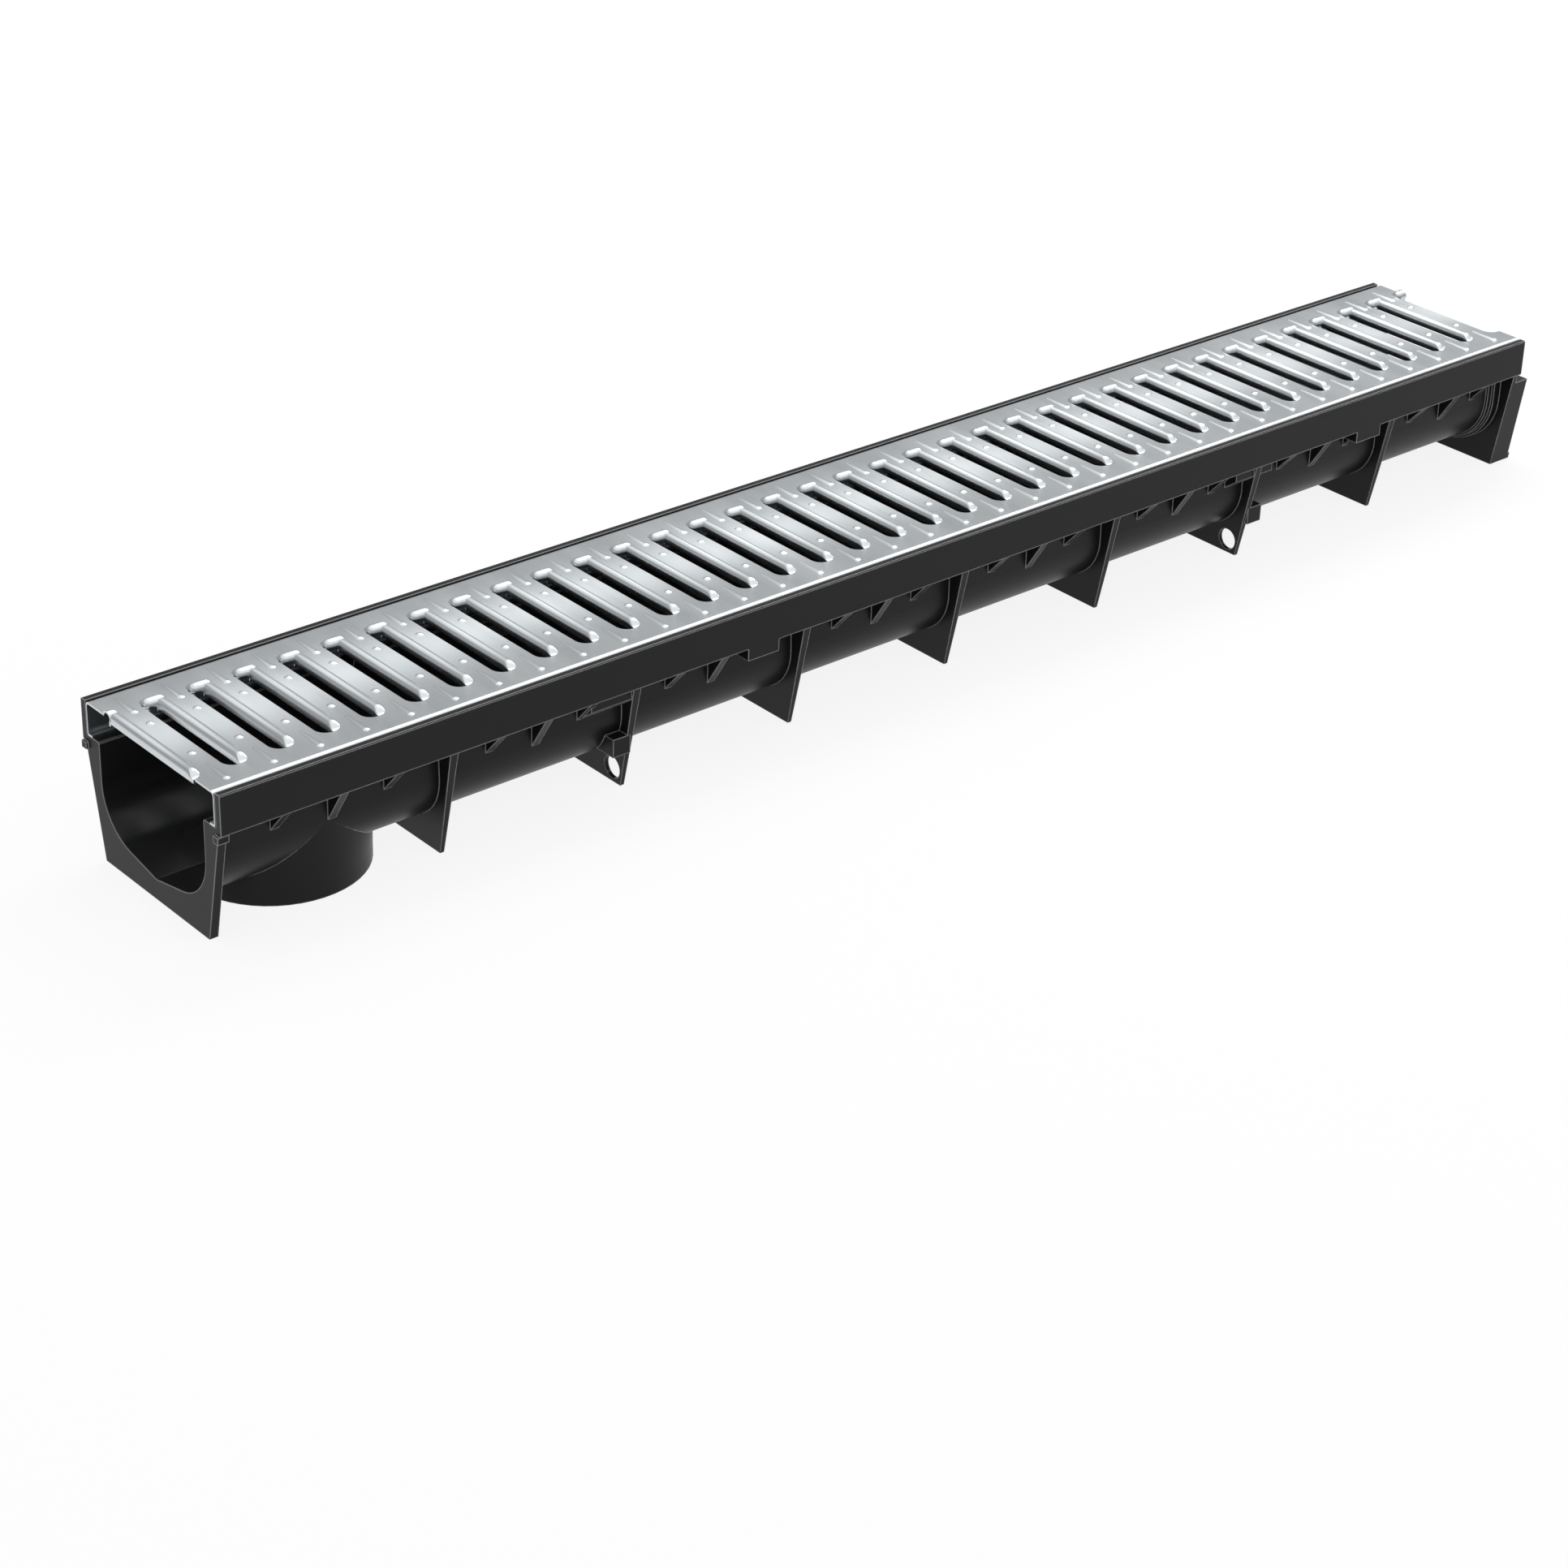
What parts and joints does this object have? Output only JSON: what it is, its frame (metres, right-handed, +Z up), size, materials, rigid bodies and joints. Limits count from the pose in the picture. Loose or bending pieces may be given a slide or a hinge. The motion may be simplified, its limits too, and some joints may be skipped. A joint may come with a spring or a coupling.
{
  "type": "channel drain",
  "caption": "Ribbed plastic drainage channel with a U-shaped trough, a closed outlet spigot near one end and a snap-in slotted metal grating that lifts out.",
  "frame": {"origin": "middle of the bounding box on the plane of the feet: halfway between the outlet end's locating nubs and the foot of the socket end's wings, on the channel's middle plane", "axes": "+X along the channel from the outlet end to the socket end, +Z up, +Y to the side that lies far from the viewer when the outlet is at the left"},
  "size_m": [1.0132, 0.132, 0.0926],
  "materials": {
    "channel_plastic": "satin black moulding",
    "grating_steel": "bright galvanised sheet, finely brushed"
  },
  "bodies": {
    "channel": {"channel_body": "channel_plastic"},
    "grating": {"slotted_grating": "grating_steel"}
  },
  "joints": [
    {"name": "grating_lift", "type": "slide", "parent": "channel", "child": "grating", "axis": [0, 0, 1], "range_m": [0, 0.13]}
  ]
}
